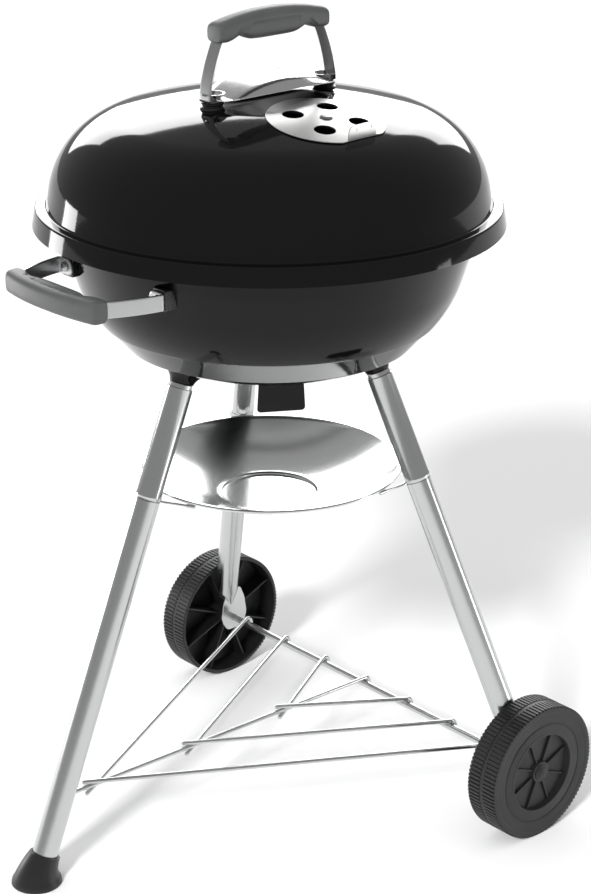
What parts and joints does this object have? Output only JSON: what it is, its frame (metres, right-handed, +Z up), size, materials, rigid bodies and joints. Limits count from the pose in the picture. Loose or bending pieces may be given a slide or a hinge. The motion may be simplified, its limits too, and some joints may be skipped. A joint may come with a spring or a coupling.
{
  "type": "kettle charcoal grill",
  "caption": "Round kettle charcoal grill: lift-off domed lid with a vent disc, bowl with grates, ash catcher and a wheeled stand with a wire rack.",
  "frame": {"origin": "on the ground, under the middle of the whole grill's bounding box", "axes": "+Z up, -Y towards the leg with the foot and the bowl's handle, X along the axle"},
  "size_m": [0.57, 0.5986, 0.887],
  "materials": {
    "black_enamel": "gloss porcelain enamel",
    "plated_steel": "satin plated steel",
    "zinc_plated_steel": "zinc plated",
    "bare_steel_rod": "bare drawn rod",
    "brushed_aluminium": "brushed",
    "polished_aluminium": "bright rolled sheet",
    "grey_nylon": "fine moulded grain",
    "black_plastic": "satin moulded"
  },
  "bodies": {
    "stand": {"bowl_shell": "black_enamel", "bowl_handle_grip": "grey_nylon", "bowl_handle_strap": "plated_steel", "bowl_handle_bracket_left": "black_plastic", "bowl_handle_bracket_right": "black_plastic", "bowl_handle_screw_left": "zinc_plated_steel", "bowl_handle_screw_right": "zinc_plated_steel", "grate_bearer_1": "zinc_plated_steel", "grate_bearer_2": "zinc_plated_steel", "grate_bearer_3": "zinc_plated_steel", "bowl_damper_pivot": "zinc_plated_steel", "leg_plug_front": "plated_steel", "leg_plug_right": "plated_steel", "leg_plug_left": "plated_steel", "leg_socket_front": "black_enamel", "leg_socket_right": "black_enamel", "leg_socket_left": "black_enamel", "upper_leg_front": "plated_steel", "upper_leg_right": "plated_steel", "upper_leg_left": "plated_steel", "lower_leg_front": "plated_steel", "lower_leg_right": "plated_steel", "lower_leg_left": "plated_steel", "foot_cap": "black_plastic", "axle": "zinc_plated_steel", "hub_cap_left": "black_plastic", "hub_cap_right": "black_plastic", "ash_clip_front": "zinc_plated_steel", "ash_clip_right": "zinc_plated_steel", "ash_clip_left": "zinc_plated_steel", "rack_spine": "plated_steel", "rack_wire_right_1": "plated_steel", "rack_wire_right_2": "plated_steel", "rack_wire_right_3": "plated_steel", "rack_wire_left_1": "plated_steel", "rack_wire_left_2": "plated_steel", "rack_wire_left_3": "plated_steel"},
    "lid": {"lid_shell": "black_enamel", "lid_damper_rivet": "brushed_aluminium", "lid_handle_grip": "grey_nylon", "lid_handle_strap": "plated_steel", "lid_heat_shield": "polished_aluminium", "lid_handle_spacer_front": "black_plastic", "lid_handle_spacer_rear": "black_plastic", "lid_handle_bolt_front": "zinc_plated_steel", "lid_handle_bolt_rear": "zinc_plated_steel", "lid_handle_nut_front": "zinc_plated_steel", "lid_handle_nut_rear": "zinc_plated_steel"},
    "lid_damper_disc": {"lid_damper": "brushed_aluminium"},
    "cooking_grid": {"cooking_grate": "plated_steel"},
    "charcoal_grid": {"charcoal_grate": "bare_steel_rod"},
    "bowl_damper_disc": {"bowl_damper": "black_enamel"},
    "ash_pan": {"ash_catcher": "polished_aluminium"},
    "left_wheel": {"wheel_left": "black_plastic"},
    "right_wheel": {"wheel_right": "black_plastic"}
  },
  "joints": [
    {"name": "lid_lift", "type": "slide", "parent": "stand", "child": "lid", "axis": [0, 0, 1], "range_m": [0, 0.16]},
    {"name": "lid_damper_turn", "type": "hinge", "parent": "lid", "child": "lid_damper_disc", "pos_m": [0.09975, 0.04101, 0.79061], "axis": [0.1588, -0.0195, 0.9871], "range_deg": [-45, 45]},
    {"name": "cooking_grate_lift", "type": "slide", "parent": "stand", "child": "cooking_grid", "axis": [0, 0, 1], "range_m": [0, 0.04]},
    {"name": "charcoal_grate_lift", "type": "slide", "parent": "stand", "child": "charcoal_grid", "axis": [0, 0, 1], "range_m": [0, 0.068]},
    {"name": "bowl_damper_turn", "type": "hinge", "parent": "stand", "child": "bowl_damper_disc", "pos_m": [0, 0.05326, 0.50216], "axis": [0, 0, 1], "range_deg": [-45, 45]},
    {"name": "wheel_left_spin", "type": "hinge", "parent": "stand", "child": "left_wheel", "pos_m": [-0.26342, 0.20079, 0.0764], "axis": [1, 0, 0], "continuous": true},
    {"name": "wheel_right_spin", "type": "hinge", "parent": "stand", "child": "right_wheel", "pos_m": [0.26342, 0.20079, 0.0764], "axis": [1, 0, 0], "continuous": true},
    {"name": "ash_catcher_lift", "type": "slide", "parent": "stand", "child": "ash_pan", "axis": [0, 0, 1], "range_m": [0, 0.012]}
  ]
}
